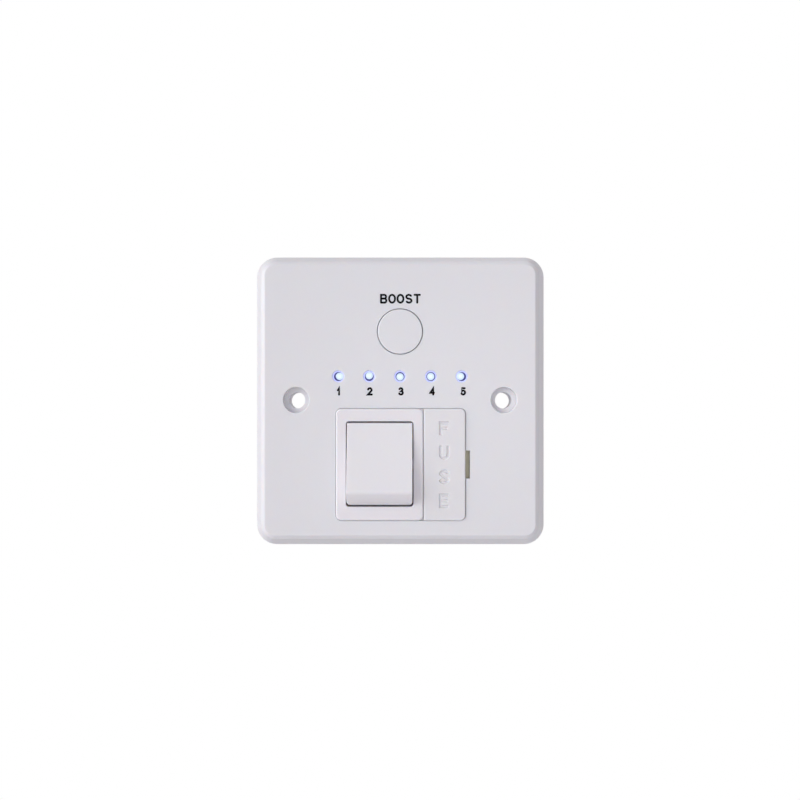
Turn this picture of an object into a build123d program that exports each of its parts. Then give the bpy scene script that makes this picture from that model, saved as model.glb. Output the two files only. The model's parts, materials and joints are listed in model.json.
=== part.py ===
from build123d import *

import os
from math import cos, radians, sin, sqrt

# Boost timer for an immersion heater: a single-gang wall plate with a push button, five lamps, a
# double-pole supply switch and a pull-out fuse carrier. Millimetres. X is to the right, Y goes into
# the wall and Z is up. The origin is the centre of the plate on the wall surface, and the front of
# the plate looks along -Y. Every range is written as (low, high).

# Plate
PLATE_SIDE = 86.0
PLATE_CORNER = 6.0
PLATE_DEPTH = 9.0
FACE_SIDE = 78.5
FACE_CORNER = 3.0
SHOULDER_SIDE = 80.8
SHOULDER_CORNER = 4.2
SHOULDER_DEPTH = 8.1
FACE_EDGE_R = 0.4
SHOULDER_EDGE_R = 0.8
FACE_WALL = 2.2
RIM_WALL = 2.3
FACE_Y = -PLATE_DEPTH
INNER_Y = FACE_Y + FACE_WALL
BITE = 0.1  # how far a rib or boss runs into the wall that it grows from

# Fixing screws, one each side on the centre line
FIXING_PITCH = 60.3
FIXING_HOLE_R = 2.4
FIXING_RECESS_R = 3.75
FIXING_RECESS_DEPTH = 2.4
FIXING_RECESS_EDGE = 0.25
PILLAR_R = 4.6

# Push button
BUTTON_Z = 19.85
BUTTON_R = 6.5
BUTTON_GAP = 0.2
BUTTON_PROUD = 0.12
BUTTON_EDGE = 0.3
BUTTON_FLANGE_R = 7.4
GUIDE_INNER_R = 7.7
GUIDE_OUTER_R = 8.9
KEY_WIDTH = 2.0
BUTTON_FREE_TRAVEL = 0.35

# Lamps
LAMP_COUNT = 5
LAMP_PITCH = 8.95
LAMP_Z = 6.84
LAMP_R = 1.5
LAMP_HOLE_R = 1.7
LAMP_HOLE_EDGE = 0.2
LEAD_PITCH = 2.54
LEAD_R = 0.25

# Circuit board
BOARD_X = (-23.0, 23.0)
BOARD_Z = (1.5, 31.3)
BOARD_Y = (-0.6, 1.0)
BOARD_FIXINGS = [(-20.3, 28.8), (20.3, 28.8), (-21.2, 3.4), (21.2, 3.4)]

# Switch frame and rocker
FRAME_CENTRE = (-5.925, -18.715)
FRAME_SIZE = (25.35, 32.43)
FRAME_CORNER = 1.6
PROUD = 0.5  # how far the frame and the fuse carrier stand out of the face
INSERT_Y = (FACE_Y - PROUD, INNER_Y + 0.1)
APERTURE_X = (-18.69, 19.08)  # opening in the face for the frame and the fuse carrier
APERTURE_Z = (-35.02, -2.41)
APERTURE_CORNER = 1.7
ROCKER_CENTRE = (-5.885, -18.55)
OPENING_SIZE = (19.53, 24.7)
OPENING_CORNER = 0.9
FRAME_TUBE_WALL = (1.2, 0.9)
FRAME_TUBE_BACK = -1.5
ROCKER_WIDTH = 18.9
ROCKER_R = 12.05  # below the frame's front the ends of the rocker are arcs about its pivot
ROCKER_TOP = (-4.45, 11.34)  # (depth, height) from the pivot, with the rocker level
ROCKER_RIDGE = (-5.09, -8.92)
ROCKER_RIDGE_R = 1.5
ROCKER_TOP_R = 0.5
ROCKER_SAG = 0.4
ROCKER_TILT = 9.1
ROCKER_WALL = 1.5
ROCKER_SKIRT = 1.5
GUIDE_END = 3.4
PIVOT_Y = -7.0
PIVOT_R = 1.5
PIVOT_LENGTH = 1.4
RUNNING = 0.05

# Switch mechanism
POLE_X = {"neutral": ROCKER_CENTRE[0] - 4.4, "line": ROCKER_CENTRE[0] + 4.4}
PLUNGER_R = 1.5
PLUNGER_REACH = 7.38
PLUNGER_BACK = 1.2
FULCRUM_Y = 1.25
BRIDGE_HALF = 8.0
BRIDGE_WIDTH = 5.0
BRIDGE_THICK = 0.8
BRIDGE_TILT = 8.5
CONTACT_ARM = 7.0
STRIP = 0.6
STRIP_Y = (4.0, 4.6)

# Fuse and its carrier
CARRIER_X = (6.85, 18.95)
CARRIER_Z = (-34.93, -2.5)
CARRIER_CORNER = 1.6
NOTCH_X = (19.0, 20.3)
NOTCH_Z = (-22.75, -14.65)
FUSE_X = 12.94
FUSE_Z = -18.7
FUSE_Y = -1.0
FUSE_LENGTH = 25.4
FUSE_R = 3.175
CAP_LENGTH = 6.2
CLIP_OFFSET = 9.4
CLIP_WIDTH = 4.5

# Base moulding
DECK_Y = (INNER_Y + 0.2, -4.25)
BASE_FLOOR = (8.0, 9.2)
SWITCH_WELL_X = (-17.05, 5.28)
SWITCH_WELL_Z = (-32.0, -4.9)
FUSE_WELL_X = (7.3, 18.6)
FUSE_WELL_Z = (-31.9, -5.5)

# Rear housing
HOUSING_X = (-25.0, 25.0)
HOUSING_Z = (-34.2, 33.2)
HOUSING_Y = (-4.2, 24.0)
HOUSING_CORNER = 2.5
HOUSING_WALL = 1.5
FLANGE_Z = 37.6
FLANGE_THICK = 1.8
HOUSING_SCREW = (22.0, 35.4)
SCREW_POCKET_R = 2.7
POCKET_WALL = 1.0

# Terminals, in a row along the bottom
TERMINALS = ["neutral_out", "neutral_in", "line_in", "earth", "line_out"]
TERMINAL_PITCH = 9.2
TERMINAL_WIDTH = 7.0
TERMINAL_Y = (11.4, 20.4)
TERMINAL_Z = (-31.6, -22.6)
CONDUCTOR_Y = 14.2
CONDUCTOR_R = 2.1
ENTRY_SIDE = 6.0  # square holes in the housing's lower wall, one for each conductor
TERMINAL_SCREW_R = 1.5


# ---------------------------------------------------------------- helpers


def block(x, y, z):
    """A box that fills three (low, high) ranges."""
    middle = Pos((x[0] + x[1]) / 2, (y[0] + y[1]) / 2, (z[0] + z[1]) / 2)
    return middle * Box(x[1] - x[0], y[1] - y[0], z[1] - z[0])


def rod(x, z, y, radius):
    """A cylinder along Y."""
    return Pos(x, (y[0] + y[1]) / 2, z) * Rot(90, 0, 0) * Cylinder(radius, y[1] - y[0])


def upright(x, y, z, radius):
    """A cylinder along Z."""
    return Pos(x, y, (z[0] + z[1]) / 2) * Cylinder(radius, z[1] - z[0])


def crosswise(x, y, z, radius):
    """A cylinder along X."""
    return Pos((x[0] + x[1]) / 2, y, z) * Rot(0, 90, 0) * Cylinder(radius, x[1] - x[0])


def facing(y):
    """The plane at depth y whose sketches are extruded along +Y."""
    return Plane(origin=(0, y, 0), x_dir=(1, 0, 0), z_dir=(0, 1, 0))


def slab(centre, size, corner, y):
    """A rounded rectangle, seen from the front, that fills the depth range y."""
    plane = facing(y[0]) * Pos(centre[0], -centre[1], 0)
    return extrude(plane * RectangleRounded(size[0], size[1], corner), y[1] - y[0])


def about(middle, half):
    """The range that reaches half each side of middle."""
    return (middle - half, middle + half)


def lamp_xs():
    return [LAMP_PITCH * (i - (LAMP_COUNT - 1) / 2) for i in range(LAMP_COUNT)]


def terminal_x(name):
    return TERMINAL_PITCH * (TERMINALS.index(name) - (len(TERMINALS) - 1) / 2)


def housing_screw_places():
    return [(sx * HOUSING_SCREW[0], sz * HOUSING_SCREW[1]) for sx in (-1, 1) for sz in (-1, 1)]


def save(name, *solids):
    """Writes one named piece, or a group of like pieces, as a STEP file."""
    shape = solids[0] if len(solids) == 1 else Compound(children=[s.solid() for s in solids])
    export_step(shape, f"parts/{name}.step")


# ---------------------------------------------------------------- plate


def square_section(side, corner, y):
    return facing(y) * RectangleRounded(side, side, corner)


def plate_body():
    """The hollow tray: a steep side, a narrow bevel round the face, and an open back."""
    wall_edge = square_section(PLATE_SIDE, PLATE_CORNER, 0)
    shoulder = square_section(SHOULDER_SIDE, SHOULDER_CORNER, -SHOULDER_DEPTH)
    face = square_section(FACE_SIDE, FACE_CORNER, FACE_Y)
    body = loft([wall_edge, shoulder]) + loft([shoulder, face])
    body = fillet(body.faces().sort_by(Axis.Y)[0].edges(), FACE_EDGE_R)
    at_shoulder = [e for e in body.edges() if abs(e.center().Y + SHOULDER_DEPTH) < 0.01]
    body = fillet(at_shoulder, SHOULDER_EDGE_R)
    back_side = PLATE_SIDE - 2 * RIM_WALL
    front_side = FACE_SIDE - 2 * RIM_WALL + 2.5
    spread = (back_side - front_side) / -INNER_Y
    hollow_back = square_section(back_side + spread, 4.0, 1.0)
    hollow_front = square_section(front_side, 2.5, INNER_Y)
    return body - loft([hollow_back, hollow_front])


def plate_ribs():
    """Stiffening ribs between the side walls and the housing, and a gusset behind each pillar."""
    rib_y = (INNER_Y - BITE, -3.0)
    ribs = []
    for side in (-1, 1):
        reach = sorted((side * 27.5, side * 40.2))
        for z in (-26.0, -13.0, 13.0, 26.0):
            ribs.append(block(reach, rib_y, about(z, 0.6)))
        ribs.append(block(sorted((side * 33.5, side * 40.2)), (INNER_Y - BITE, -1.0), about(0, 0.8)))
    return ribs


def button_guide():
    """Ring behind the face that keeps the button straight, slotted for the button's two keys."""
    ring_y = (INNER_Y - BITE, -3.4)
    ring = rod(0, BUTTON_Z, ring_y, GUIDE_OUTER_R)
    ring -= rod(0, BUTTON_Z, (INNER_Y, -3.0), GUIDE_INNER_R)
    slot_width = KEY_WIDTH / 2 + 0.3
    return ring - block(about(0, GUIDE_OUTER_R + 1), (INNER_Y + 0.01, -3.0), about(BUTTON_Z, slot_width))


def hole_rims(plate, radius):
    """The front edges of the holes of one radius."""
    circles = plate.edges().filter_by(GeomType.CIRCLE)
    return [e for e in circles if abs(e.radius - radius) < 0.01 and abs(e.center().Y - FACE_Y) < 0.01]


def faceplate():
    plate = plate_body()
    for rib in plate_ribs():
        plate += rib
    pillars = [(-FIXING_PITCH / 2, 0), (FIXING_PITCH / 2, 0)]
    for x, z in pillars:
        plate += rod(x, z, (INNER_Y - BITE, 0), PILLAR_R)
    plate += button_guide()
    for x, z in BOARD_FIXINGS:
        plate += rod(x, z, (INNER_Y - BITE, BOARD_Y[0]), 1.9)
        plate -= rod(x, z, (-4.8, BOARD_Y[0] + 1), 1.15)
    for x, z in housing_screw_places():
        plate += rod(x, z, (INNER_Y - BITE, HOUSING_Y[0]), 2.8)
        plate -= rod(x, z, (-7.9, HOUSING_Y[0] + 1), 1.2)
    for x, z in pillars:
        plate -= rod(x, z, (FACE_Y - 1, 1), FIXING_HOLE_R)
        plate -= rod(x, z, (FACE_Y - 1, FACE_Y + FIXING_RECESS_DEPTH), FIXING_RECESS_R)
    plate -= rod(0, BUTTON_Z, (FACE_Y - 1, INNER_Y + BITE), BUTTON_R + BUTTON_GAP)
    for x in lamp_xs():
        plate -= rod(x, LAMP_Z, (FACE_Y - 1, INNER_Y + 1), LAMP_HOLE_R)
    plate = fillet(hole_rims(plate, LAMP_HOLE_R), LAMP_HOLE_EDGE)
    plate = fillet(hole_rims(plate, FIXING_RECESS_R), FIXING_RECESS_EDGE)
    centre = (sum(APERTURE_X) / 2, sum(APERTURE_Z) / 2)
    size = (APERTURE_X[1] - APERTURE_X[0], APERTURE_Z[1] - APERTURE_Z[0])
    plate -= slab(centre, size, APERTURE_CORNER, (FACE_Y - 1, INNER_Y + 1))
    plate -= block((NOTCH_X[0] - 0.5, NOTCH_X[1]), (FACE_Y - 1, INNER_Y + 1), NOTCH_Z)
    return plate


# ---------------------------------------------------------------- button and lamps


def boost_button():
    flange_y = (INNER_Y + 0.1, INNER_Y + 1.1)
    cap = rod(0, BUTTON_Z, (FACE_Y - BUTTON_PROUD, flange_y[0] + BITE), BUTTON_R)
    cap = fillet(cap.edges().sort_by(Axis.Y)[0], BUTTON_EDGE)
    button = cap + rod(0, BUTTON_Z, flange_y, BUTTON_FLANGE_R)
    for side in (-1, 1):
        key_x = sorted((side * (BUTTON_FLANGE_R - 0.4), side * 8.4))
        button += block(key_x, flange_y, about(BUTTON_Z, KEY_WIDTH / 2))
    stem_tip = -5.0 - BUTTON_FREE_TRAVEL
    return button + rod(0, BUTTON_Z, (flange_y[1] - BITE, stem_tip), 2.0)


def tact_switch():
    """The square body with a round well, and the plunger that stands in it."""
    body = block(about(0, 3.0), (-4.0, BOARD_Y[0]), about(BUTTON_Z, 3.0))
    body -= rod(0, BUTTON_Z, (-5.0, -2.4), 1.78)
    for side in (-1, 1):
        for dz in (-2.2, 2.2):
            leg_x = sorted((side * 2.9, side * 3.9))
            body += block(leg_x, (-1.2, BOARD_Y[0]), about(BUTTON_Z + dz, 0.35))
    return body, rod(0, BUTTON_Z, (-5.0, -3.0), 1.7)


def lamp(x):
    """One 3 mm lamp: dome, barrel and the wider foot."""
    dome_centre = FACE_Y + LAMP_R
    dome = Pos(x, dome_centre, LAMP_Z) * Sphere(LAMP_R)
    barrel = rod(x, LAMP_Z, (dome_centre, -3.9), LAMP_R)
    return dome + barrel + rod(x, LAMP_Z, (-4.9, -3.9), 1.75)


def lead_places():
    return [(x + side * LEAD_PITCH / 2, LAMP_Z) for x in lamp_xs() for side in (-1, 1)]


def lamp_leads():
    return [rod(x, z, (-3.9, BOARD_Y[1] - 0.05), LEAD_R) for x, z in lead_places()]


def lamp_holder():
    holder = block(about(0, 19.0), (-3.85, BOARD_Y[0] - 0.05), about(LAMP_Z, 2.25))
    for x, z in lead_places():
        holder -= rod(x, z, (-5, 1), 0.45)
    return holder


# ---------------------------------------------------------------- circuit board


def control_board():
    board = block(BOARD_X, BOARD_Y, BOARD_Z)
    board = fillet(board.edges().filter_by(Axis.Y), 1.0)
    for x, z in BOARD_FIXINGS:
        board -= rod(x, z, (-2, 2), 1.5)
    for x, z in lead_places():
        board -= rod(x, z, (-2, 2), 0.4)
    return board


def chip(x, z, y, pins_each_side, pin_pitch):
    """A moulded package with a row of pins along its top and bottom edges."""
    body = block(x, y, z)
    middle = (x[0] + x[1]) / 2
    for i in range(pins_each_side):
        pin_x = about(middle + (i - (pins_each_side - 1) / 2) * pin_pitch, 0.2)
        for edge, out in ((z[0], -1.0), (z[1], 1.0)):
            shoulder = sorted((edge - out * 0.1, edge + out * 0.6))
            foot = sorted((edge + out * 0.45, edge + out * 0.95))
            body += block(pin_x, about((y[0] + y[1]) / 2, 0.12), shoulder)
            body += block(pin_x, (BOARD_Y[1], (y[0] + y[1]) / 2 + 0.12), foot)
    return body


def relay():
    case = block((-20.0, 9.0), (BOARD_Y[1], 16.7), (13.5, 26.2))
    return fillet(case.edges().filter_by(Axis.Y) + case.faces().sort_by(Axis.Y)[-1].edges(), 0.5)


def supply_capacitor():
    case = block((-19.0, -1.5), (BOARD_Y[1], 13.5), (4.5, 12.5))
    return fillet(case.edges().filter_by(Axis.Y) + case.faces().sort_by(Axis.Y)[-1].edges(), 0.6)


def smoothing_capacitor():
    can = rod(4.5, 8.6, (BOARD_Y[1] + 0.2, 13.0), 4.0)
    can = fillet(can.edges().sort_by(Axis.Y)[-1], 0.5)
    can += rod(4.5, 8.6, (BOARD_Y[1], BOARD_Y[1] + 0.3), 3.2)
    groove = rod(4.5, 8.6, (2.6, 3.1), 4.2) - rod(4.5, 8.6, (2.5, 3.2), 3.7)
    return can - groove


def varistor():
    disc = upright(14.5, 6.6, (9.4, 12.8), 4.5)
    disc = fillet(disc.edges().filter_by(GeomType.CIRCLE), 1.2)
    for x in (12.0, 17.0):
        disc += rod(x, 11.1, (BOARD_Y[1], 4.5), 0.35)
    return disc


def timing_crystal():
    can = crosswise((10.5, 16.5), 2.7, 27.4, 1.5)
    for z in (26.9, 27.9):
        can += crosswise((9.6, 10.6), 2.7, z, 0.2)
        can += rod(9.7, z, (BOARD_Y[1], 2.8), 0.2)
    return can


def dropper_resistor():
    body = crosswise((-9.0, 1.0), 2.9, 29.2, 1.6)
    body = fillet(body.edges().filter_by(GeomType.CIRCLE), 0.5)
    for x in (-10.6, 2.6):
        body += crosswise(sorted((x, -4.0)), 2.9, 29.2, 0.3)
        body += rod(x, 29.2, (BOARD_Y[1], 3.2), 0.3)
    return body


def relay_driver():
    """A small transistor: a round body with one flat side."""
    case = rod(18.8, 17.0, (BOARD_Y[1] + 1.2, 6.6), 2.4)
    case -= block((15.0, 22.0), (0, 8), (18.6, 20.0))
    for dx in (-1.27, 0, 1.27):
        case += rod(18.8 + dx, 17.0, (BOARD_Y[1], BOARD_Y[1] + 1.4), 0.22)
    return case


# ---------------------------------------------------------------- screws


def cross_screw(x, z, seat, head_r, head_height, shank_r, tip):
    """A cross-head screw driven along -Y whose head sits on the plane y = seat."""
    head = rod(x, z, (seat, seat + head_height), head_r)
    head = fillet(head.edges().sort_by(Axis.Y)[-1], head_height * 0.45)
    recess_y = (seat + head_height * 0.45, seat + head_height + 1)
    head -= block(about(x, head_r * 0.55), recess_y, about(z, head_r * 0.13))
    head -= block(about(x, head_r * 0.13), recess_y, about(z, head_r * 0.55))
    shank = rod(x, z, (tip, seat + BITE), shank_r)
    return head + chamfer(shank.edges().sort_by(Axis.Y)[0], shank_r * 0.5)


def board_screws():
    return [cross_screw(x, z, BOARD_Y[1], 2.1, 1.4, 1.1, -4.4) for x, z in BOARD_FIXINGS]


def housing_screws():
    seat = HOUSING_Y[0] + FLANGE_THICK
    return [cross_screw(x, z, seat, 2.3, 1.7, 1.15, -7.6) for x, z in housing_screw_places()]


def terminal_screws():
    """Slotted clamping screws, wound back so that the conductor holes are clear."""
    screws = []
    z = sum(TERMINAL_Z) / 2
    for name in TERMINALS:
        x = terminal_x(name)
        tip = CONDUCTOR_Y + CONDUCTOR_R + 0.3
        head_y = (TERMINAL_Y[1], TERMINAL_Y[1] + 1.5)
        screw = rod(x, z, (tip, head_y[0] + BITE), TERMINAL_SCREW_R)
        head = rod(x, z, head_y, 2.1)
        head = fillet(head.edges().sort_by(Axis.Y)[-1], 0.3)
        head -= block(about(x, 3), (head_y[1] - 0.8, head_y[1] + 1), about(z, 0.35))
        screws.append(screw + head)
    return screws


# ---------------------------------------------------------------- switch


def frame_tube_size():
    return tuple(OPENING_SIZE[i] + 2 * FRAME_TUBE_WALL[i] for i in (0, 1))


def switch_frame():
    rim = slab(FRAME_CENTRE, FRAME_SIZE, FRAME_CORNER, INSERT_Y)
    rim = fillet(rim.faces().sort_by(Axis.Y)[0].edges(), 0.5)
    right = FRAME_CENTRE[0] + FRAME_SIZE[0] / 2
    rim += block((right - 3, right), (FACE_Y + 0.4, INSERT_Y[1]), about(FRAME_CENTRE[1], FRAME_SIZE[1] / 2))
    tube_y = (INSERT_Y[1] - BITE, FRAME_TUBE_BACK)
    frame = rim + slab(ROCKER_CENTRE, frame_tube_size(), OPENING_CORNER + 0.6, tube_y)
    frame -= slab(ROCKER_CENTRE, OPENING_SIZE, OPENING_CORNER, (FACE_Y - 3, 1))
    front = frame.faces().sort_by(Axis.Y)[0]
    frame = fillet(front.inner_wires()[0].edges(), 0.2)
    pin_reach = about(ROCKER_CENTRE[0], frame_tube_size()[0] / 2 + 1)
    return frame - crosswise(pin_reach, PIVOT_Y, ROCKER_CENTRE[1], PIVOT_R + RUNNING)


def on_arc(radius, degrees):
    """(depth, height) of a point at an angle in front of the height axis, about the pivot."""
    return (-radius * sin(radians(degrees)), radius * cos(radians(degrees)))


def rocker_profile():
    """Side view of the level rocker about its pivot at (0, 0), as a face in the YZ plane.

    The front is a shallow hollow from the top edge to the ridge, and a bulging nose falls from the
    ridge to the arc of the lower end. The back is straight.
    """
    skirt = sqrt(ROCKER_R**2 - ROCKER_SKIRT**2)
    back_top, back_bottom = (ROCKER_SKIRT, skirt), (ROCKER_SKIRT, -skirt)
    arc_top, nose_end = on_arc(ROCKER_R, 15), on_arc(ROCKER_R, 177)
    front = ((ROCKER_TOP[0] + ROCKER_RIDGE[0]) / 2 + ROCKER_SAG, (ROCKER_TOP[1] + ROCKER_RIDGE[1]) / 2)
    nose = ((ROCKER_RIDGE[0] + nose_end[0]) / 2 - 0.35, (ROCKER_RIDGE[1] + nose_end[1]) / 2 - 0.25)
    outline = [
        ThreePointArc(ROCKER_RIDGE, front, ROCKER_TOP),
        Line(ROCKER_TOP, arc_top),
        ThreePointArc(arc_top, (0, ROCKER_R), back_top),
        Line(back_top, back_bottom),
        ThreePointArc(back_bottom, (0, -ROCKER_R), nose_end),
        ThreePointArc(nose_end, nose, ROCKER_RIDGE),
    ]
    return make_face(outline)


def side_extrusion(profile, width):
    """Extrudes a YZ sketch along X, centred on X = 0."""
    plane = Plane(origin=(-width / 2, 0, 0), x_dir=(0, 1, 0), z_dir=(1, 0, 0))
    return extrude(plane * profile, width)


def in_rocker(shape):
    """Puts a piece made about the level pivot into its place, with the rocker's bottom edge out."""
    return Pos(ROCKER_CENTRE[0], PIVOT_Y, ROCKER_CENTRE[1]) * Rot(-ROCKER_TILT, 0, 0) * shape


def plunger_xs():
    return [x - ROCKER_CENTRE[0] for x in POLE_X.values()]


def bore_bottom():
    """Depth at which the plunger bores end, behind the middle of the rocker's front wall."""
    return (ROCKER_TOP[0] + ROCKER_RIDGE[0]) / 2 + ROCKER_SAG + ROCKER_WALL + 0.1


def switch_rocker():
    profile = rocker_profile()
    outer = side_extrusion(profile, ROCKER_WIDTH)
    outline = slab((0, 0), (ROCKER_WIDTH, 2 * ROCKER_R), 0.9, (ROCKER_RIDGE[0] - 1, ROCKER_SKIRT + 1))
    outer = outer & outline
    across = outer.edges().filter_by(GeomType.LINE).filter_by(Axis.X)
    ridge = [e for e in across if e.center().Y < -4 and e.center().Z < 0]
    outer = fillet(ridge, ROCKER_RIDGE_R)
    across = outer.edges().filter_by(GeomType.LINE).filter_by(Axis.X)
    top = [e for e in across if e.center().Y < -4.3 and e.center().Z > 0]
    outer = fillet(top, ROCKER_TOP_R)
    inner = side_extrusion(offset(profile, -ROCKER_WALL), ROCKER_WIDTH - 2 * ROCKER_WALL)
    open_back = block(about(0, ROCKER_WIDTH / 2 - ROCKER_WALL), (-0.5, ROCKER_SKIRT + 1),
                      about(0, ROCKER_R - ROCKER_WALL - 0.3))
    rocker = outer - inner - open_back
    for x in plunger_xs():
        rocker += rod(x, 0, (bore_bottom() - 0.8, GUIDE_END), 2.6)
        rocker -= rod(x, 0, (bore_bottom(), GUIDE_END + 1), PLUNGER_R + 0.08)
    for side in (-1, 1):
        inside = side * (ROCKER_WIDTH / 2 - 1)
        rocker += crosswise(sorted((inside, side * (ROCKER_WIDTH / 2 + PIVOT_LENGTH))), 0, 0, PIVOT_R)
    return in_rocker(rocker)


def plunger(x):
    """A round-nosed pin that stands in the rocker and presses on a contact bridge."""
    nose = PLUNGER_REACH - PLUNGER_R
    body = rod(x, 0, (PLUNGER_BACK, nose), PLUNGER_R)
    return in_rocker(body + Pos(x, nose, 0) * Sphere(PLUNGER_R))


def plunger_spring(x):
    """A coil spring between the rocker and the back of its plunger."""
    wire_r, coil_r, turns = 0.2, 1.15, 5
    start = bore_bottom() + wire_r + 0.05
    end = PLUNGER_BACK - wire_r - 0.05
    path = Helix((end - start) / turns, end - start, coil_r)
    coil = sweep(Plane(path @ 0, z_dir=path % 0) * Circle(wire_r), path=path, is_frenet=True)
    return in_rocker(Pos(x, start, 0) * Rot(-90, 0, 0) * coil)


def moving_contact(x):
    """A rocking bridge with its contact at the top end, tilted open about the knife edge."""
    bar = block(about(0, BRIDGE_WIDTH / 2), (-BRIDGE_THICK, 0), about(0, BRIDGE_HALF))
    bar = fillet(bar.edges().filter_by(Axis.Y), 1.0)
    tip = rod(0, CONTACT_ARM, (-BITE, 0.75), 1.5)
    tip = fillet(tip.edges().sort_by(Axis.Y)[-1], 0.25)
    for side in (-1, 1):
        ear_x = sorted((side * (BRIDGE_WIDTH / 2 - 0.7), side * BRIDGE_WIDTH / 2))
        bar += block(ear_x, (-0.9 - BRIDGE_THICK, -BITE), about(0, 2.6))
    return Pos(x, FULCRUM_Y, ROCKER_CENTRE[1]) * Rot(BRIDGE_TILT, 0, 0) * (bar + tip)


def fixed_contact(x):
    rivet = rod(x, ROCKER_CENTRE[1] + CONTACT_ARM, (3.4, STRIP_Y[0]), 1.6)
    return fillet(rivet.edges().sort_by(Axis.Y)[0], 0.3)


def knife_strip(x, terminal):
    """Incoming strip: knife edge for the bridge, a foot, and a leg back to the terminal."""
    z = ROCKER_CENTRE[1]
    width = 2.0
    foot_y = (6.4, 7.2)
    edge = FULCRUM_Y + 0.06
    outline = Polyline([(edge, z), (edge + 0.9, z - 0.4), (foot_y[1], z - 0.4)]
                       + [(foot_y[1], z + 0.4), (edge + 0.9, z + 0.4), (edge, z)])
    plane = Plane(origin=(x - width / 2, 0, 0), x_dir=(0, 1, 0), z_dir=(1, 0, 0))
    strip = extrude(plane * make_face(outline), width)
    leg_z = (z - 7.25, z - 6.45)
    strip += block(about(x, width / 2), foot_y, (leg_z[0], z))
    across = sorted((x - width / 2, terminal_x(terminal) + width / 2))
    strip += block(about(x, width / 2), (foot_y[0], TERMINAL_Y[0]), leg_z)
    return strip + block(across, (TERMINAL_Y[0] - 0.8, TERMINAL_Y[0]), leg_z)


def board_riser(x, z, back, landing_z=(2.9, 3.5)):
    """A strip that climbs behind the base and turns forward to the back of the board."""
    riser = block(x, (back - STRIP, back), (z, landing_z[1]))
    return riser + block(x, (BOARD_Y[1], back), landing_z)


def neutral_busbar():
    """Neutral from its fixed contact to the outgoing terminal and up to the board."""
    x = POLE_X["neutral"]
    pad_z = (-13.3, -9.8)
    left = -21.2
    bar = block((left, x + 1.6), STRIP_Y, pad_z)
    bar += block((left, left + STRIP), (STRIP_Y[0], TERMINAL_Y[0]), pad_z)
    bar += block((left, -15.0), (TERMINAL_Y[0] - STRIP, TERMINAL_Y[0]), (-24.5, pad_z[1]))
    return bar + board_riser((-18.0, -15.0), pad_z[1] - 1, TERMINAL_Y[0])


def line_out_strip():
    return board_riser((15.0, 18.0), -24.5, TERMINAL_Y[0])


# ---------------------------------------------------------------- fuse


def fuse_clip(z):
    """A U of spring strip, open to the front, with flared lips."""
    side, lip = FUSE_R + 0.42, FUSE_R + 1.0
    web = STRIP_Y[0] + STRIP / 2
    line = Polyline((-lip, -3.7), (-side, -2.7), (-side, web), (side, web), (side, -2.7), (lip, -3.7))
    profile = trace(line, STRIP)
    plane = Plane(origin=(FUSE_X, 0, z - CLIP_WIDTH / 2), x_dir=(1, 0, 0), z_dir=(0, 0, 1))
    return extrude(plane * profile, CLIP_WIDTH)


def upper_fuse_clip():
    """The upper clip in one piece with the strip from the line fixed contact."""
    z = FUSE_Z + CLIP_OFFSET
    x = POLE_X["line"]
    strip = block((x - 1.6, FUSE_X - 3), STRIP_Y, about(z, CLIP_WIDTH / 2))
    pad = block(about(x, 1.6), STRIP_Y, (-13.3, z))
    return fuse_clip(z) + strip + pad


def lower_fuse_clip():
    """The lower clip with its tail through the base and up to the board."""
    z = FUSE_Z - CLIP_OFFSET
    tail_x = about(FUSE_X, 1.0)
    tail_z = (z - 0.3, z + 0.3)
    tail = block(tail_x, (STRIP_Y[0], 10.2), tail_z)
    return fuse_clip(z) + tail + board_riser(tail_x, tail_z[0], 10.2)


def fuse_tube():
    half = FUSE_LENGTH / 2 - 0.4
    tube = upright(FUSE_X, FUSE_Y, about(FUSE_Z, half), 2.8)
    return tube - upright(FUSE_X, FUSE_Y, about(FUSE_Z, half + 1), 1.9)


def fuse_caps():
    caps = []
    for side in (-1, 1):
        tip = FUSE_Z + side * FUSE_LENGTH / 2
        cap = upright(FUSE_X, FUSE_Y, sorted((tip, tip - side * CAP_LENGTH)), FUSE_R)
        cap = fillet(cap.edges().sort_by(Axis.Z)[-1 if side > 0 else 0], 0.5)
        inside = sorted((tip - side * 0.35, tip - side * (CAP_LENGTH + 1)))
        caps.append(cap - upright(FUSE_X, FUSE_Y, inside, 2.83))
    return caps


def letter_lines(letter, width, height):
    """Centre lines of the four sunk capitals, from the letter's lower left corner."""
    w, h = width, height
    r = w / 2
    if letter == "F":
        return [Polyline((0, 0), (0, h), (w, h)), Line((0, h * 0.52), (w * 0.85, h * 0.52))]
    if letter == "U":
        return [Line((0, h), (0, r)), ThreePointArc((0, r), (r, 0), (w, r)), Line((w, r), (w, h))]
    if letter == "S":
        q = h / 4
        upper = [ThreePointArc((w, h - q * 0.8), (r, h), (0, h - q)), Line((0, h - q), (0.1, h - q * 1.2))]
        across = [Line((0.1, h - q * 1.2), (w - 0.1, q * 1.2))]
        lower = [Line((w - 0.1, q * 1.2), (w, q)), ThreePointArc((w, q), (r, 0), (0, q * 0.8))]
        return upper + across + lower
    return [Polyline((w, 0), (0, 0), (0, h), (w, h)), Line((0, h / 2), (w * 0.85, h / 2))]


def fuse_letters(front):
    """Cutters for the capitals down the carrier, 0.4 mm deep, with sides that slope outwards."""
    width, height, floor, depth, slope = 2.2, 3.35, 0.45, 0.4, 34.0
    cutters = []
    for letter, z in zip("FUSE", (-8.3, -15.15, -22.25, -29.2)):
        for line in letter_lines(letter, width, height):
            plane = Plane(origin=(FUSE_X - width / 2 - 0.1, front + depth, z - height / 2),
                          x_dir=(1, 0, 0), z_dir=(0, -1, 0))
            cutters.append(extrude(plane * trace(line, floor), depth + 0.1, taper=-slope))
    return cutters


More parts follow.
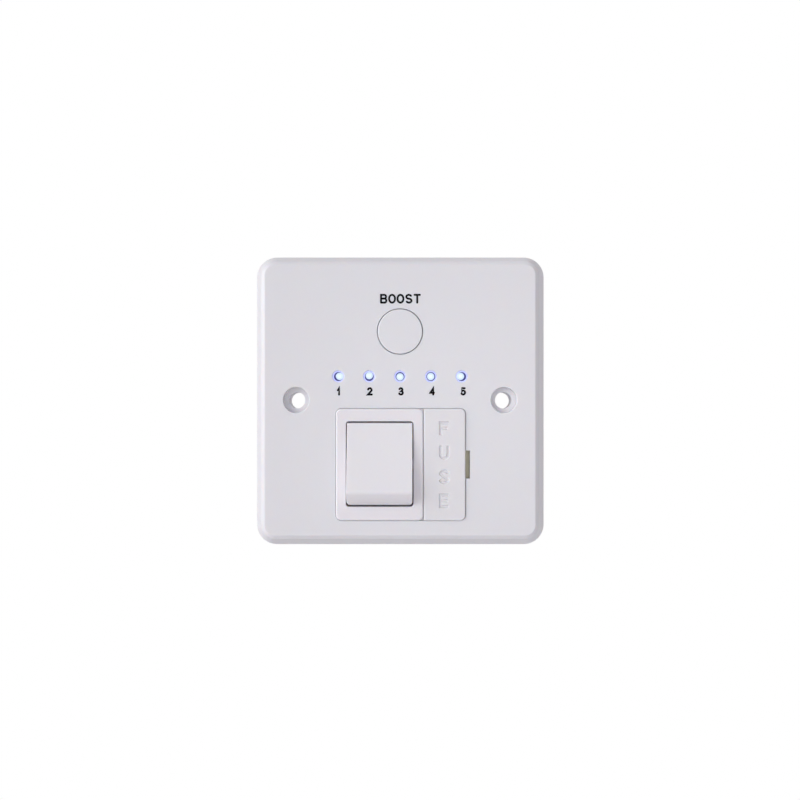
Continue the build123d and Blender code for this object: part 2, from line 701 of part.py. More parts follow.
def fuse_carrier():
    """Front panel with square corners beside the frame, and two cheeks that grip the fuse."""
    overlap = 3.0
    centre = ((CARRIER_X[0] - overlap + CARRIER_X[1]) / 2, sum(CARRIER_Z) / 2)
    size = (CARRIER_X[1] - CARRIER_X[0] + overlap, CARRIER_Z[1] - CARRIER_Z[0])
    panel = slab(centre, size, CARRIER_CORNER, INSERT_Y)
    panel -= block((CARRIER_X[0] - overlap - 1, CARRIER_X[0]), (-11, 0), (-40, 0))
    panel = fillet(panel.faces().sort_by(Axis.Y)[0].edges(), 0.35)
    for cutter in fuse_letters(INSERT_Y[0]):
        panel -= cutter
    for side in (-1, 1):
        cheek_x = sorted((FUSE_X + side * 3.25, FUSE_X + side * 4.9))
        panel += block(cheek_x, (INSERT_Y[1] - BITE, 7.5), about(FUSE_Z, 5.5))
    return panel + block(about(FUSE_X, 3.3), (INSERT_Y[1] - BITE, -4.3), about(FUSE_Z, 2.0))


# ---------------------------------------------------------------- base and rear housing


def base_shell():
    """Deck behind the plate, and the two wells behind it."""
    deck = block((-23.2, 23.2), DECK_Y, (-36.6, -1.0))
    body = block((-18.3, 20.0), (DECK_Y[1] - BITE, BASE_FLOOR[1]), (-32.7, -3.5))
    for x, z in housing_screw_places():
        deck -= rod(x, z, (-8, 0), 3.1)
        body -= rod(x, z, (-8, BASE_FLOOR[1] + 1), SCREW_POCKET_R + POCKET_WALL + 0.2)
    base = deck + body
    base -= block(SWITCH_WELL_X, (-8, BASE_FLOOR[0]), SWITCH_WELL_Z)
    return base - block(FUSE_WELL_X, (-8, BASE_FLOOR[0]), FUSE_WELL_Z)


def base_supports():
    """Posts under the fixed contacts, the fuse clips and the lower ends of the bridges."""
    reach = (STRIP_Y[1] + 0.05, BASE_FLOOR[0] + BITE)
    posts = []
    for x in POLE_X.values():
        posts.append(block(about(x, 1.8), reach, (-13.5, -9.6)))
        posts.append(block(about(x, 1.6), (2.9, BASE_FLOOR[0] + BITE), (-27.2, -26.1)))
    for side in (-1, 1):
        z = FUSE_Z + side * CLIP_OFFSET
        posts.append(block(about(FUSE_X, 3.4), reach, about(z, 2.2)))
    return posts


def base_slots():
    """Openings for the strips that pass through the walls and the floor."""
    strip_gap = (STRIP_Y[0] - 0.2, STRIP_Y[1] + 0.2)
    through_floor = (STRIP_Y[1], BASE_FLOOR[1] + 1)
    upper_z = FUSE_Z + CLIP_OFFSET
    lower_z = FUSE_Z - CLIP_OFFSET
    leg_z = (ROCKER_CENTRE[1] - 7.45, ROCKER_CENTRE[1] - 6.25)
    slots = [
        block((SWITCH_WELL_X[1] - 1, FUSE_WELL_X[0] + 1), strip_gap, about(upper_z, 2.45)),
        block((-19.0, SWITCH_WELL_X[0] + 1), strip_gap, (-13.5, -9.6)),
        block(about(FUSE_X, 1.2), through_floor, about(lower_z, 0.6)),
    ]
    for x in POLE_X.values():
        slots.append(block(about(x, 1.2), (BASE_FLOOR[0] - 1, BASE_FLOOR[1] + 1), leg_z))
    return slots


def switch_base():
    base = base_shell()
    for post in base_supports():
        base += post
    for slot in base_slots():
        base -= slot
    return base


def housing_shell():
    centre = (0, sum(HOUSING_Z) / 2)
    outer_size = (HOUSING_X[1] - HOUSING_X[0], HOUSING_Z[1] - HOUSING_Z[0])
    inner_size = tuple(s - 2 * HOUSING_WALL for s in outer_size)
    shell = slab(centre, outer_size, HOUSING_CORNER, HOUSING_Y)
    shell = fillet(shell.faces().sort_by(Axis.Y)[-1].edges(), 1.2)
    flange_y = (HOUSING_Y[0], HOUSING_Y[0] + FLANGE_THICK)
    shell += slab((0, 0), (outer_size[0], 2 * FLANGE_Z), HOUSING_CORNER, flange_y)
    hollow_y = (HOUSING_Y[0] - 1, HOUSING_Y[1] - HOUSING_WALL - 0.1)
    hollow = slab(centre, inner_size, HOUSING_CORNER - HOUSING_WALL + 0.2, hollow_y)
    for x, z in housing_screw_places():
        hollow -= rod(x, z, (HOUSING_Y[0] - 2, HOUSING_Y[1]), SCREW_POCKET_R + POCKET_WALL)
    return shell - hollow


def rear_housing():
    """Deep cover with a screw pocket at each corner, bays for the terminals and vents."""
    housing = housing_shell()
    for x, z in housing_screw_places():
        housing -= rod(x, z, (HOUSING_Y[0] - 1, HOUSING_Y[0] + 3), 1.6)
        housing -= rod(x, z, (HOUSING_Y[0] + FLANGE_THICK, HOUSING_Y[1] + 1), SCREW_POCKET_R)
    rib_y = (TERMINAL_Y[0] - 0.4, HOUSING_Y[1] - 1)
    for i in range(len(TERMINALS) - 1):
        x = TERMINAL_PITCH * (i - (len(TERMINALS) - 2) / 2)
        housing += block(about(x, 0.6), rib_y, (HOUSING_Z[0] + 1, -19.5))
    for name in TERMINALS:
        x = terminal_x(name)
        entry = block(about(x, ENTRY_SIDE / 2), about(CONDUCTOR_Y, ENTRY_SIDE / 2),
                      (HOUSING_Z[0] - 1, HOUSING_Z[0] + 3))
        housing -= fillet(entry.edges().filter_by(Axis.Z), 1.0)
        housing -= rod(x, sum(TERMINAL_Z) / 2, (HOUSING_Y[1] - 3, HOUSING_Y[1] + 1), 2.7)
    for i in range(7):
        vent_x = about(4.0 * (i - 3), 0.8)
        housing -= block(vent_x, (HOUSING_Y[1] - 3, HOUSING_Y[1] + 1), (10.0, 24.0))
    return housing


def terminal(name):
    """A brass block with an upright conductor hole and a tapped hole from the back."""
    x = terminal_x(name)
    body = block(about(x, TERMINAL_WIDTH / 2), TERMINAL_Y, TERMINAL_Z)
    body = chamfer(body.edges().filter_by(Axis.Z), 0.4)
    body -= upright(x, CONDUCTOR_Y, (TERMINAL_Z[0] - 1, TERMINAL_Z[1] + 1), CONDUCTOR_R)
    tapped = (CONDUCTOR_Y, TERMINAL_Y[1] + 1)
    return body - rod(x, sum(TERMINAL_Z) / 2, tapped, TERMINAL_SCREW_R + 0.05)


# ---------------------------------------------------------------- output

os.makedirs("parts", exist_ok=True)

save("faceplate", faceplate())
save("boost_button", boost_button())
tact_body, tact_plunger = tact_switch()
save("tact_switch_body", tact_body)
save("tact_switch_plunger", tact_plunger)
for number, x in enumerate(lamp_xs(), start=1):
    save(f"led_{number}", lamp(x))
save("led_leads", *lamp_leads())
save("led_holder", lamp_holder())

save("control_board", control_board())
save("relay", relay())
save("supply_capacitor", supply_capacitor())
save("smoothing_capacitor", smoothing_capacitor())
save("varistor", varistor())
save("microcontroller", chip((12.0, 20.7), (20.2, 24.1), (1.2, 2.7), 7, 1.27))
save("bridge_rectifier", chip((11.0, 15.7), (15.0, 18.9), (1.2, 3.6), 2, 2.54))
save("timing_crystal", timing_crystal())
save("dropper_resistor", dropper_resistor())
save("relay_driver", relay_driver())
save("board_screws", *board_screws())

save("switch_frame", switch_frame())
save("switch_rocker", switch_rocker())
for pole, x in POLE_X.items():
    offset = x - ROCKER_CENTRE[0]
    save(f"plunger_{pole}", plunger(offset))
    save(f"spring_{pole}", plunger_spring(offset))
    save(f"moving_contact_{pole}", moving_contact(x))
    save(f"fixed_contact_{pole}", fixed_contact(x))
    save(f"{pole}_in_strip", knife_strip(x, f"{pole}_in"))
save("neutral_busbar", neutral_busbar())
save("line_out_strip", line_out_strip())

save("upper_fuse_clip", upper_fuse_clip())
save("lower_fuse_clip", lower_fuse_clip())
save("fuse_tube", fuse_tube())
save("fuse_caps", *fuse_caps())
save("fuse_carrier", fuse_carrier())

save("switch_base", switch_base())
save("rear_housing", rear_housing())
save("housing_screws", *housing_screws())
for name in TERMINALS:
    save(f"terminal_{name}", terminal(name))
save("terminal_screws", *terminal_screws())
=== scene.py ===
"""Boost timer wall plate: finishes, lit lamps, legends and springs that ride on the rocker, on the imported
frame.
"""

import json
from math import cos, pi, radians, sin

import bmesh
import bpy
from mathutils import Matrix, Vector


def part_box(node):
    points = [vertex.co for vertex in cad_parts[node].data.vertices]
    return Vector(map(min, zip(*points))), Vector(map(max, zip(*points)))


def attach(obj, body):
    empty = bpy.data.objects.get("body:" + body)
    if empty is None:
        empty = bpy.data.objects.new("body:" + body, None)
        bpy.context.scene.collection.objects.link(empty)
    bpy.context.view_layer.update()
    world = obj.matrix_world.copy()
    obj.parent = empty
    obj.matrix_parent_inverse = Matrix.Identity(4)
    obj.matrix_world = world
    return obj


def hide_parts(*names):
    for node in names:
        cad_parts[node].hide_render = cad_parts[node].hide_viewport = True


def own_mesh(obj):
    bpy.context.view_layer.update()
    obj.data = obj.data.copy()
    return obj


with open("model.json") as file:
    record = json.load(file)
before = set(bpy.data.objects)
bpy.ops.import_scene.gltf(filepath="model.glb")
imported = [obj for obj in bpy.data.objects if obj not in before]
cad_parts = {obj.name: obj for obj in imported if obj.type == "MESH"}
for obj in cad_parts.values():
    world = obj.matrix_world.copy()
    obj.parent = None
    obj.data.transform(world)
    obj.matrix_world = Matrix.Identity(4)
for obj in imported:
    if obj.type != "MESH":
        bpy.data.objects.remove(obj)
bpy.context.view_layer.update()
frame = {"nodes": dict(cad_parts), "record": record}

NODES = frame["nodes"]
MM = 0.001

FACE_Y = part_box("faceplate")[0].y
UNDERSIDE_Z = -34.2 * MM  # lower wall of the rear cover; its flange reaches lower


def middle(name):
    low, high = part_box(name)
    return (low + high) / 2


def placed(name, data, location=(0, 0, 0)):
    """A new object in the scene."""
    obj = bpy.data.objects.new(name, data)
    bpy.context.scene.collection.objects.link(obj)
    obj.location = location
    return obj


def add_node(tree, kind, **inputs):
    """A new shader node with values on its sockets; an underscore stands for a space in a socket's name."""
    node = tree.nodes.new(kind)
    for name, value in inputs.items():
        node.inputs[name.replace("_", " ")].default_value = value
    return node


# ---------------------------------------------------------------- camera, light and floor

VIEW_WIDTH = 231.8 * MM  # how much of the face plane the picture spans
VIEW_DISTANCE = 250 * MM
VIEW_X, VIEW_Z = 3 * MM, -7 * MM
SENSOR = 36.0

GROUND_COLOR = (1, 1, 1, 1)
ROOM_COLOR = (1.0, 0.975, 1.02, 1)
ROOM_STRENGTH = 0.385
SWEEP_STRENGTH = 0.66  # the sweep behind the object is brighter than the room
SWEEP_START, SWEEP_FULL = 0.0, 0.3  # as the Y part of the direction looked in

KEY_FROM = (-0.84, -0.53, 0.23)
KEY_ENERGY = 2.28
KEY_SPREAD = 60
FILL_FROM = (0.02, -0.18, 0.0)
FILL_AIM = (0.02, 0, 0)
FILL_ENERGY = 0.035
FILL_SIZE = 0.1

FLOOR_SIZE = 5.0
FLOOR_FAR_EDGE = 0.28
FLOOR_Z = -0.26


def make_camera():
    """Looks straight at the face from a little right of and below its middle; the shift recentres it."""
    data = bpy.data.cameras.new("camera")
    data.sensor_width = SENSOR
    data.lens = SENSOR * VIEW_DISTANCE / VIEW_WIDTH
    data.shift_x = -VIEW_X / VIEW_WIDTH
    data.shift_y = -VIEW_Z / VIEW_WIDTH
    data.clip_start = 0.01
    data.clip_end = 20
    camera = placed("camera", data, (VIEW_X, FACE_Y - VIEW_DISTANCE, VIEW_Z))
    camera.rotation_euler = (pi / 2, 0, 0)
    bpy.context.scene.camera = camera


def make_world():
    """Even light from all round, and a clean white ground behind the object."""
    bpy.context.scene.view_settings.view_transform = "Standard"
    world = bpy.data.worlds.new("studio")
    world.use_nodes = True
    bpy.context.scene.world = world
    tree = world.node_tree
    tree.nodes.clear()
    aimed = add_node(tree, "ShaderNodeTexCoord")
    split = add_node(tree, "ShaderNodeSeparateXYZ")
    tree.links.new(aimed.outputs["Generated"], split.inputs[0])
    strength = add_node(tree, "ShaderNodeMapRange", From_Min=SWEEP_START, From_Max=SWEEP_FULL,
                        To_Min=ROOM_STRENGTH, To_Max=SWEEP_STRENGTH)
    tree.links.new(split.outputs["Y"], strength.inputs["Value"])
    room = add_node(tree, "ShaderNodeBackground", Color=ROOM_COLOR)
    tree.links.new(strength.outputs["Result"], room.inputs["Strength"])
    ground = add_node(tree, "ShaderNodeBackground", Color=GROUND_COLOR)
    path = add_node(tree, "ShaderNodeLightPath")
    mix = add_node(tree, "ShaderNodeMixShader")
    tree.links.new(path.outputs["Is Camera Ray"], mix.inputs["Fac"])
    tree.links.new(room.outputs[0], mix.inputs[1])
    tree.links.new(ground.outputs[0], mix.inputs[2])
    out = add_node(tree, "ShaderNodeOutputWorld")
    tree.links.new(mix.outputs[0], out.inputs["Surface"])


def aim(obj, target):
    obj.rotation_euler = (Vector(target) - obj.location).to_track_quat("-Z", "Y").to_euler()


def make_lights():
    """A broad key from the left, and a small weak fill close to the face."""
    key = bpy.data.lights.new("key", "SUN")
    key.energy = KEY_ENERGY
    key.angle = radians(KEY_SPREAD)
    aim(placed("key", key, KEY_FROM), (0, 0, 0))

    fill = bpy.data.lights.new("fill", "AREA")
    fill.energy = FILL_ENERGY
    fill.size = FILL_SIZE
    fill_light = placed("fill", fill, FILL_FROM)
    fill_light.visible_camera = False
    aim(fill_light, FILL_AIM)


def make_floor():
    """A pale floor well below the plate; it ends just before it would come into the picture."""
    bpy.ops.mesh.primitive_plane_add(size=FLOOR_SIZE, location=(0, FLOOR_FAR_EDGE - FLOOR_SIZE / 2, FLOOR_Z))
    floor = bpy.context.object
    floor.name = "floor"
    floor.data.materials.append(Surface("floor", (0.88, 0.88, 0.89), 0.6).material)


# ---------------------------------------------------------------- materials


class Surface:
    """A Principled material that is built up one effect at a time. Grain and height are in millimetres."""

    def __init__(self, name, color, roughness, **sockets):
        self.material = bpy.data.materials.new(name)
        self.material.use_nodes = True
        self.tree = self.material.node_tree
        self.shader = self.tree.nodes["Principled BSDF"]
        self.place = self.add("ShaderNodeTexCoord").outputs["Object"]
        self.shader.inputs["Base Color"].default_value = (*color, 1)
        self.shader.inputs["Roughness"].default_value = roughness
        for socket, value in sockets.items():
            self.shader.inputs[socket.replace("_", " ")].default_value = value

    def add(self, kind, **inputs):
        return add_node(self.tree, kind, **inputs)

    def link(self, source, target):
        self.tree.links.new(source, target)

    def noise(self, grain, detail, stretch=(1, 1, 1)):
        """Noise whose blotches are about grain millimetres across, drawn out along stretch."""
        mapping = self.add("ShaderNodeMapping", Scale=[1 / s for s in stretch])
        self.link(self.place, mapping.inputs["Vector"])
        noise = self.add("ShaderNodeTexNoise", Scale=1 / (grain * MM), Detail=detail)
        self.link(mapping.outputs[0], noise.inputs["Vector"])
        return noise.outputs["Fac"]

    def spread(self, value, low, high, start=0.3, end=0.7):
        """Maps values from start to end onto low to high."""
        node = self.add("ShaderNodeMapRange", From_Min=start, From_Max=end, To_Min=low, To_Max=high)
        self.link(value, node.inputs["Value"])
        return node.outputs["Result"]

    def blend(self, factor, first, second):
        """Mixes two colours, each a tuple or a socket."""
        node = self.add("ShaderNodeMix")
        node.data_type = "RGBA"
        self.link(factor, node.inputs["Factor"])
        for socket, value in (("A", first), ("B", second)):
            target = next(i for i in node.inputs if i.name == socket and i.type == "RGBA")
            if isinstance(value, tuple):
                target.default_value = (*value, 1)
            else:
                self.link(value, target)
        return next(o for o in node.outputs if o.type == "RGBA")

    def tint(self, color_low, color_high, grain, detail=3.0):
        """Drifts the base colour between two close tones."""
        factor = self.spread(self.noise(grain, detail), 0, 1)
        self.link(self.blend(factor, color_low, color_high), self.shader.inputs["Base Color"])

    def gloss(self, low, high, grain, stretch=(1, 1, 1)):
        """Varies the roughness."""
        value = self.spread(self.noise(grain, 4.0, stretch), low, high)
        self.link(value, self.shader.inputs["Roughness"])

    def bump(self, height, grain, detail=2.0, stretch=(1, 1, 1)):
        """Adds fine relief."""
        node = self.add("ShaderNodeBump", Strength=1.0, Distance=height * MM)
        self.link(self.noise(grain, detail, stretch), node.inputs["Height"])
        self.link(node.outputs["Normal"], self.shader.inputs["Normal"])


def scaled(color, k):
    return tuple(c * k for c in color)


def white_plastic(name, color, roughness=0.34):
    """Glossy moulded urea: close to one tone, with a faint orange-peel skin."""
    surface = Surface(name, color, roughness, IOR=1.5, Subsurface_Weight=0.4, Subsurface_Scale=1.5 * MM,
                      Subsurface_Radius=(1.0, 0.7, 0.5))
    surface.tint(scaled(color, 0.996), scaled(color, 1.004), grain=0.7)
    surface.gloss(roughness - 0.02, roughness + 0.03, grain=0.6)
    surface.bump(0.001, grain=1.2)
    return surface


def matt_plastic(name, color, roughness, grain=0.4, height=0.012, drift=0.04):
    """Spark-eroded texture on a moulded part; its tone drifts by the given share."""
    surface = Surface(name, color, roughness, IOR=1.48)
    surface.tint(scaled(color, 1 - drift), scaled(color, 1 + drift), grain=7)
    surface.gloss(roughness - 0.08, roughness + 0.1, grain=2)
    surface.bump(height, grain, detail=3)
    return surface


def metal(name, color, roughness=0.3, stretch=(1, 1, 1), stain=0.88):
    """Metal with a drawn or plated grain and a little tarnish."""
    surface = Surface(name, color, roughness, Metallic=1.0)
    surface.tint(scaled(color, stain), color, grain=2.5, detail=1)
    surface.gloss(roughness - 0.05, roughness + 0.08, grain=0.5, stretch=stretch)
    surface.bump(0.0005, grain=0.8, stretch=stretch)
    return surface


PIN_PITCH = 2.54 * MM
BARE_BOARD, OVER_TRACKS = (0.006, 0.075, 0.028), (0.02, 0.17, 0.06)


def board_finish(name, color):
    """Solder resist on a glass laminate, lighter where it covers copper tracks."""
    surface = Surface(name, color, 0.3, IOR=1.5)
    mapping = surface.add("ShaderNodeMapping", Rotation=(pi / 2, 0, 0))
    brick = surface.add("ShaderNodeTexBrick", Scale=1 / PIN_PITCH, Mortar_Size=0.16, Brick_Width=2.4)
    surface.link(surface.place, mapping.inputs["Vector"])
    surface.link(mapping.outputs[0], brick.inputs["Vector"])
    gap = surface.spread(brick.outputs["Fac"], 0, 1, 0.2, 0.8)
    surface.link(surface.blend(gap, BARE_BOARD, OVER_TRACKS), surface.shader.inputs["Base Color"])
    surface.gloss(0.22, 0.4, grain=4)
    surface.bump(0.004, grain=0.4)
    return surface


INK = "ink"
FINISHES = {}


def make_finishes():
    """One finish for each material slot that the parts use, and the ink."""
    def finish(maker, name, color, *numbers, **options):
        FINISHES[name] = maker(name, color, *numbers, **options)

    finish(white_plastic, "plate_white", (0.785, 0.78, 0.81))
    finish(white_plastic, "button_white", (0.785, 0.78, 0.81))
    finish(white_plastic, "frame_white", (0.83, 0.805, 0.84))
    finish(white_plastic, "rocker_white", (0.825, 0.81, 0.84), 0.33)
    finish(white_plastic, "carrier_white", (0.79, 0.78, 0.805))
    finish(matt_plastic, "base_grey", (0.70, 0.67, 0.50), 0.5, height=0.01)
    finish(matt_plastic, "housing_white", (0.77, 0.765, 0.76), 0.5, grain=0.3, height=0.02, drift=0.01)
    finish(matt_plastic, "holder_black", (0.03, 0.03, 0.034), 0.5, grain=0.35)
    finish(matt_plastic, "plunger_white", (0.78, 0.78, 0.75), 0.4, grain=0.6, height=0.004)
    finish(board_finish, "board_green", (0.012, 0.12, 0.045))
    finish(matt_plastic, "relay_black", (0.018, 0.018, 0.02), 0.42, grain=0.3)
    finish(matt_plastic, "chip_black", (0.016, 0.016, 0.017), 0.6, grain=0.2)
    finish(matt_plastic, "capacitor_yellow", (0.72, 0.42, 0.03), 0.35, grain=0.8, height=0.01)
    finish(matt_plastic, "can_black", (0.02, 0.024, 0.05), 0.3, grain=1.5, height=0.01)
    finish(matt_plastic, "varistor_blue", (0.03, 0.09, 0.36), 0.32, grain=0.7, height=0.03)
    finish(matt_plastic, "resistor_grey", (0.2, 0.3, 0.27), 0.4, grain=0.5)
    finish(matt_plastic, "fuse_ceramic", (0.78, 0.75, 0.68), 0.5, height=0.01)
    finish(metal, "fuse_cap", (0.78, 0.74, 0.68), 0.24)
    finish(metal, "tinned", (0.78, 0.78, 0.76))
    finish(metal, "zinc", (0.68, 0.7, 0.72))
    finish(metal, "spring_steel", (0.56, 0.57, 0.6))
    finish(metal, "crystal_can", (0.72, 0.72, 0.7), 0.28, stretch=(12, 1, 1))
    finish(metal, "brass", (0.88, 0.67, 0.33), 0.33, stain=0.85)
    finish(metal, "silver", (0.9, 0.9, 0.87), 0.2)
    finish(Surface, INK, (0.004, 0.004, 0.006), 0.6, Specular_IOR_Level=0.15)
    FINISHES[INK].gloss(0.5, 0.7, grain=0.4)


def give_finish(mesh, finish):
    mesh.materials.clear()
    mesh.materials.append(finish.material)


def paint_nodes():
    """Each CAD node takes the finish of its own material slot."""
    for part in frame["record"]["subparts"]:
        if part["material_slot"] in FINISHES:
            give_finish(NODES[part["node"]].data, FINISHES[part["material_slot"]])


# ---------------------------------------------------------------- lamps

LAMP_NAMES = [f"led_{i}" for i in range(1, 6)]
CORE_R = 1.03  # the bright middle of a lamp, in mm
CORE_SHIFTS = [(0.36, 0.04), (0.03, 0.24), (0.0, -0.12), (-0.05, -0.02), (-0.36, 0.04)]  # X and Z, in mm
DIE_HALF = 0.5  # the brighter square inside it
RIM_R = 1.3  # where the dome's dark blue turns pale
CORE_COLOR, DIE_COLOR = (0.66, 0.82, 0.97), (0.82, 0.97, 1.0)
DOME_COLOR, RIM_COLOR = (0.012, 0.012, 0.16), (0.6, 0.64, 0.92)
SPILL_COLOR = (0.42, 0.46, 1.0, 1)
SPILL_STRENGTH = 1.15
SPILL_R = (1.53 * MM, 1.62 * MM)
SPILL_DEPTH = (0.9 * MM, 1.7 * MM)  # below the face


def new_piece(name, builder, finish, body):
    """A mesh piece that rides on a body."""
    bm = bmesh.new()
    builder(bm)
    bmesh.ops.recalc_face_normals(bm, faces=bm.faces)
    mesh = bpy.data.meshes.new(name)
    bm.to_mesh(mesh)
    bm.free()
    for polygon in mesh.polygons:
        polygon.use_smooth = True
    mesh.set_sharp_from_angle(angle=radians(35))
    obj = placed(name, mesh)
    give_finish(mesh, finish)
    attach(obj, body)
    return obj


def ring(bm, centre, radii, depths, steps=48):
    """A flat-sided ring about a line along Y through centre."""
    inner, outer = radii
    front, back = depths
    loops = []
    for r, y in ((inner, front), (outer, front), (outer, back), (inner, back)):
        turns = [2 * pi * i / steps for i in range(steps)]
        loops.append([bm.verts.new((centre.x + r * cos(a), y, centre.z + r * sin(a))) for a in turns])
    for here, following in zip(loops, loops[1:] + loops[:1]):
        for i in range(steps):
            j = (i + 1) % steps
            bm.faces.new((here[i], here[j], following[j], following[i]))


def off_axis(surface, centre, shift=(0, 0)):
    """A socket with the place relative to a lamp's axis, or to a line beside it, in mm across the face."""
    dx, dz = shift
    mapping = surface.add("ShaderNodeMapping", Location=(-centre.x - dx * MM, 0, -centre.z - dz * MM))
    flat = surface.add("ShaderNodeVectorMath")
    flat.operation = "MULTIPLY"
    flat.inputs[1].default_value = (1 / MM, 0, 1 / MM)
    surface.link(surface.place, mapping.inputs["Vector"])
    surface.link(mapping.outputs[0], flat.inputs[0])
    return flat.outputs[0]


def round_distance(surface, place):
    length = surface.add("ShaderNodeVectorMath")
    length.operation = "LENGTH"
    surface.link(place, length.inputs[0])
    return length.outputs["Value"]


def square_distance(surface, place):
    """Half the side of the square, with softened corners, that passes through a place."""
    size = surface.add("ShaderNodeVectorMath")
    size.operation = "ABSOLUTE"
    surface.link(place, size.inputs[0])
    split = surface.add("ShaderNodeSeparateXYZ")
    surface.link(size.outputs[0], split.inputs[0])
    largest = surface.add("ShaderNodeMath")
    largest.operation = "SMOOTH_MAX"
    largest.inputs[2].default_value = 0.4
    surface.link(split.outputs["X"], largest.inputs[0])
    surface.link(split.outputs["Z"], largest.inputs[1])
    return largest.outputs[0]


def lamp_lens(name, shift):
    """A lit clear lamp: bright middle, dark blue round it where the dome bends the light away, pale rim."""
    surface = Surface(f"lens_{name}", (0.05, 0.05, 0.1), 0.06, IOR=1.5, Emission_Strength=1.0)
    centre = middle(name)
    beside = off_axis(surface, centre, shift)
    core = surface.spread(round_distance(surface, beside), 1, 0, CORE_R - 0.06, CORE_R + 0.1)
    die = surface.spread(square_distance(surface, beside), 1, 0, DIE_HALF - 0.08, DIE_HALF + 0.1)
    rim = surface.spread(round_distance(surface, off_axis(surface, centre)), 0, 1, RIM_R - 0.05, RIM_R + 0.1)
    dome = surface.blend(rim, DOME_COLOR, RIM_COLOR)
    bright = surface.blend(die, CORE_COLOR, DIE_COLOR)
    surface.link(surface.blend(core, dome, bright), surface.shader.inputs["Emission Color"])
    return surface


def make_lamps():
    """Lit lenses, and a thin lit ring in the gap round each lamp that colours the edge of its hole."""
    spill = Surface("lamp_spill", (0.02, 0.02, 0.05), 0.4, Emission_Color=SPILL_COLOR,
                    Emission_Strength=SPILL_STRENGTH)
    depths = [FACE_Y + depth for depth in SPILL_DEPTH]
    for name, shift in zip(LAMP_NAMES, CORE_SHIFTS):
        give_finish(NODES[name].data, lamp_lens(name, shift))

        def build(bm):
            ring(bm, middle(name), SPILL_R, depths)

        new_piece(f"{name}_spill", build, spill, "plate")


# ---------------------------------------------------------------- springs


def make_springs():
    """Plunger springs as copies of their nodes, riding on the rocker; the nodes themselves are hidden."""
    for pole in ("line", "neutral"):
        node = f"spring_{pole}"
        coil = placed(f"coil_{pole}", NODES[node].data.copy())
        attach(coil, "rocker")
        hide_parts(node)
        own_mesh(coil)


# ---------------------------------------------------------------- legends

PRINT_DEPTH = 0.012 * MM

LEGEND_STROKE = 0.57 * MM
BOOST_X = 0.13 * MM
BOOST_STEP = 2.43 * MM  # from one letter's middle to the next
BOOST_Z = (27.93 * MM, 30.75 * MM)
BOOST_WIDTHS = (2.1 * MM, 2.28 * MM, 2.28 * MM, 2.08 * MM, 2.08 * MM)
FIGURE_Z = (1.3 * MM, 3.7 * MM)
FIGURE_X = 0.29 * MM  # how far right of its lamp a figure stands
FIGURE_SPACING = 1.008  # figures stand a little further apart than the lamps
FIGURE_WIDTHS = (1.08 * MM, 1.7 * MM, 1.6 * MM, 1.6 * MM, 1.6 * MM)

MARK_STROKE = 0.4 * MM
MARK_REACH = 16.6 * MM  # the flat part of the lower wall ends at the grooves of the corner screws
SIGN_Y, SIGN_WIDTH = (7.0 * MM, 9.8 * MM), 2.0 * MM
WAY_Y, WAY_WIDTH, WAY_STEP = (18.6 * MM, 20.4 * MM), 1.3 * MM, 1.7 * MM
TERMINAL_MARKS = {"line_in": ("L", "IN"), "neutral_in": ("N", "IN"), "line_out": ("L", "OUT"),
                  "neutral_out": ("N", "OUT"), "earth": ("E", "")}


def arc(u, v, ru, rv, start, end, steps=14):
    """Points on an ellipse from one angle to another, in degrees."""
    turns = [radians(start + (end - start) * i / steps) for i in range(steps + 1)]
    return [(u + ru * cos(t), v + rv * sin(t)) for t in turns]


# Centre lines of plain capitals and figures, in a box that is one wide and one high
GLYPHS = {
    "B": [[(0, 0), (0, 1)] + arc(0.62, 0.76, 0.33, 0.24, 90, -90) + [(0, 0.52)],
          [(0.5, 0.52)] + arc(0.66, 0.26, 0.34, 0.26, 90, -90) + [(0, 0)]],
    "E": [[(1, 1), (0, 1), (0, 0), (1, 0)], [(0, 0.52), (0.85, 0.52)]],
    "I": [[(0.5, 0), (0.5, 1)]],
    "L": [[(0, 1), (0, 0), (1, 0)]],
    "N": [[(0, 0), (0, 1), (1, 0), (1, 1)]],
    "O": [arc(0.5, 0.5, 0.5, 0.5, 90, 450, 32)],
    "S": [arc(0.49, 0.755, 0.47, 0.245, 30, 250) + arc(0.52, 0.25, 0.48, 0.25, 70, -150)],
    "T": [[(0, 1), (1, 1)], [(0.5, 1), (0.5, 0)]],
    "U": [[(0, 1)] + arc(0.5, 0.4, 0.5, 0.4, 180, 360) + [(1, 1)]],
    "1": [[(0, 0.68), (0.35, 0.8), (0.68, 1), (0.68, 0)]],
    "2": [arc(0.48, 0.72, 0.46, 0.28, 165, -28) + [(0.02, 0.0), (1, 0)]],
    "3": [arc(0.46, 0.76, 0.42, 0.24, 155, -80) + arc(0.48, 0.27, 0.52, 0.27, 80, -155)],
    "4": [[(0.8, 0), (0.8, 1), (0, 0.28), (1, 0.28)]],
    "5": [[(0.9, 1), (0.22, 1), (0.1, 0.5)] + arc(0.47, 0.32, 0.53, 0.32, 125, -150)],
}


def on_face(u, v, proud):
    return (u, FACE_Y - proud, v)


def on_underside(u, v, proud):
    """The rear cover's lower wall, read from behind and below."""
    return (-u, v, UNDERSIDE_Z - proud)


def ribbon_sides(points, half):
    """The two edges of a flat stroke of even width along a line of points."""
    sides = []
    for i, here in enumerate(points):
        before = here - points[max(i - 1, 0)]
        after = points[min(i + 1, len(points) - 1)] - here
        along = (before.normalized() + after.normalized()).normalized()
        across = Vector((-along.y, along.x))
        run = after if i == 0 else before
        square = Vector((-run.y, run.x)).normalized()
        reach = half / max(across.dot(square), 0.35)  # a mitre, cut short at sharp turns
        sides.append((here + across * reach, here - across * reach))
    return sides


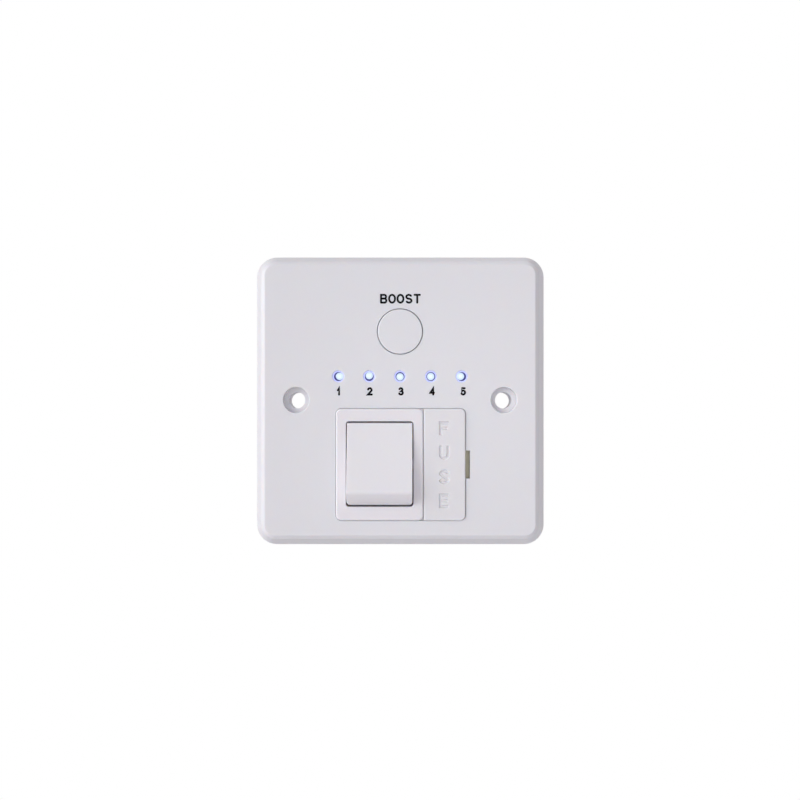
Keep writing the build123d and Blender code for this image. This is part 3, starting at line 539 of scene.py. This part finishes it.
class Lettering:
    """Letters printed on one surface of the object, drawn as thin prisms with strokes of even width."""

    def __init__(self, place, stroke):
        self.place, self.half = place, stroke / 2
        self.bm = None

    def prism(self, outline):
        front, back = ([self.bm.verts.new(self.place(p.x, p.y, proud)) for p in outline]
                       for proud in (PRINT_DEPTH, -PRINT_DEPTH))
        self.bm.faces.new(front)
        self.bm.faces.new(back[::-1])
        for i in range(len(outline)):
            j = (i + 1) % len(outline)
            self.bm.faces.new((front[i], back[i], back[j], front[j]))

    def stroke(self, points):
        """A ribbon with round ends."""
        sides = ribbon_sides(points, self.half)
        for (a, b), (c, d) in zip(sides, sides[1:]):
            self.prism([a, b, d, c])
        turns = [pi * k / 10 for k in range(20)]
        for end in (points[0], points[-1]):
            self.prism([end + self.half * Vector((cos(t), sin(t))) for t in turns])

    def letter(self, sign, centre, width, rise):
        """A letter whose ink fills the width round its centre and the rise from low to high."""
        low, high = rise
        left, bottom = centre - width / 2 + self.half, low + self.half
        wide, tall = width - 2 * self.half, high - low - 2 * self.half
        for line in GLYPHS[sign]:
            self.stroke([Vector((left + u * wide, bottom + v * tall)) for u, v in line])

    def make(self, name, letters):
        """One piece from (sign, centre, width, rise) rows."""
        def build(bm):
            self.bm = bm
            for row in letters:
                self.letter(*row)

        new_piece(name, build, FINISHES[INK], "plate")


def word(text, centre, step, widths, rise):
    """Rows for letters at an even step, centred as a whole."""
    return [(sign, centre + (i - (len(text) - 1) / 2) * step, width, rise)
            for i, (sign, width) in enumerate(zip(text, widths))]


def make_legends():
    """BOOST over the button, and a figure under each lamp."""
    lettering = Lettering(on_face, LEGEND_STROKE)
    lettering.make("legend_boost", word("BOOST", BOOST_X, BOOST_STEP, BOOST_WIDTHS, BOOST_Z))
    for lamp, figure, width in zip(LAMP_NAMES, "12345", FIGURE_WIDTHS):
        x = middle(lamp).x * FIGURE_SPACING + FIGURE_X
        lettering.make(f"legend_{figure}", [(figure, x, width, FIGURE_Z)])


def make_entry_marks():
    """Line, neutral or earth on one side of each conductor entry, in or out on the other."""
    lettering = Lettering(on_underside, MARK_STROKE)
    for terminal, (sign, way) in TERMINAL_MARKS.items():
        u = max(-MARK_REACH, min(MARK_REACH, -middle(f"terminal_{terminal}").x))
        ways = word(way, u, WAY_STEP, [WAY_WIDTH] * len(way), WAY_Y)
        lettering.make(f"mark_{terminal}", [(sign, u, SIGN_WIDTH, SIGN_Y)] + ways)


# ---------------------------------------------------------------- put together

make_camera()
make_world()
make_lights()
make_floor()
make_finishes()
paint_nodes()
make_lamps()
make_springs()
make_legends()
make_entry_marks()
